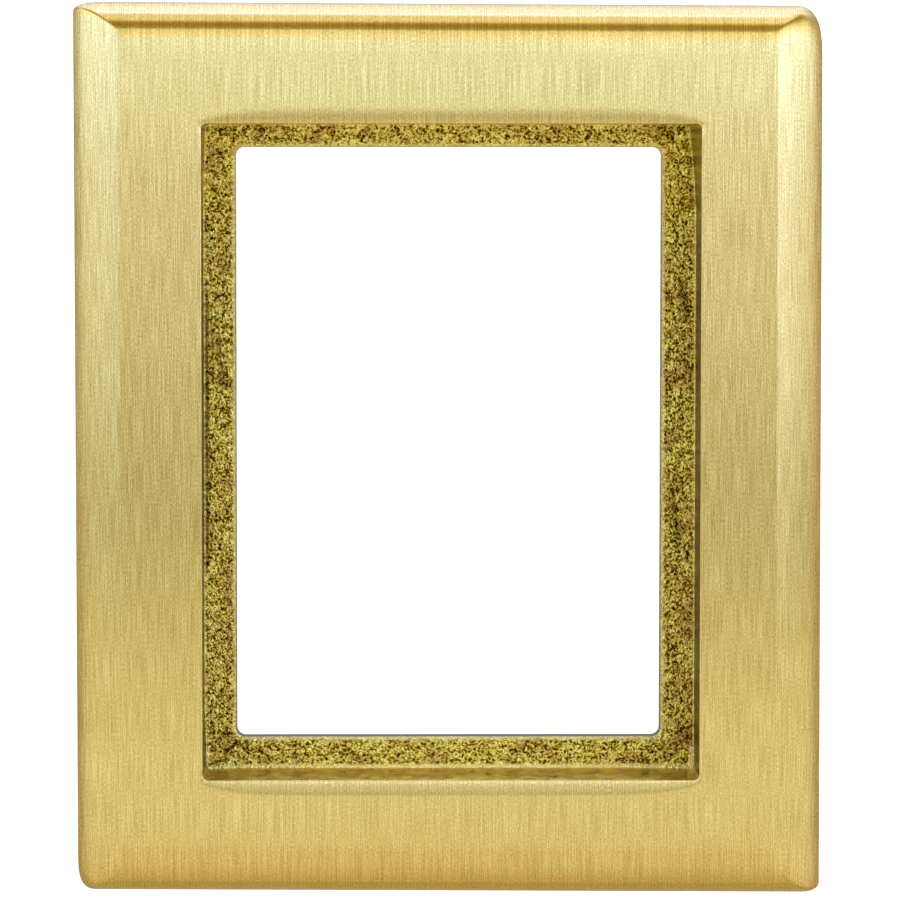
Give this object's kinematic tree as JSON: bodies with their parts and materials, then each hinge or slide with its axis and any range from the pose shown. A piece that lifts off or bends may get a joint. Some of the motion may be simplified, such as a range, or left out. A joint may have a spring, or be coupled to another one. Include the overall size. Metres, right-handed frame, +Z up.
{
  "type": "frame-shaped paperweight",
  "caption": "Solid brass rectangular frame paperweight with bevelled edges, satin face and a stepped window, on a thin felt ring.",
  "frame": {"origin": "middle of the frame's outline, on the surface that the felt rests on", "axes": "+X across the frame's width, +Y along its length, +Z up out of its face"},
  "size_m": [0.138, 0.165, 0.0185],
  "materials": {
    "satin_brass": "belt-linished satin brass, rough as-cast skin on the ledge inside the window",
    "felt": "pressed wool felt, matt"
  },
  "bodies": {
    "root": {"frame_casting": "satin_brass", "base_felt": "felt"}
  },
  "joints": []
}
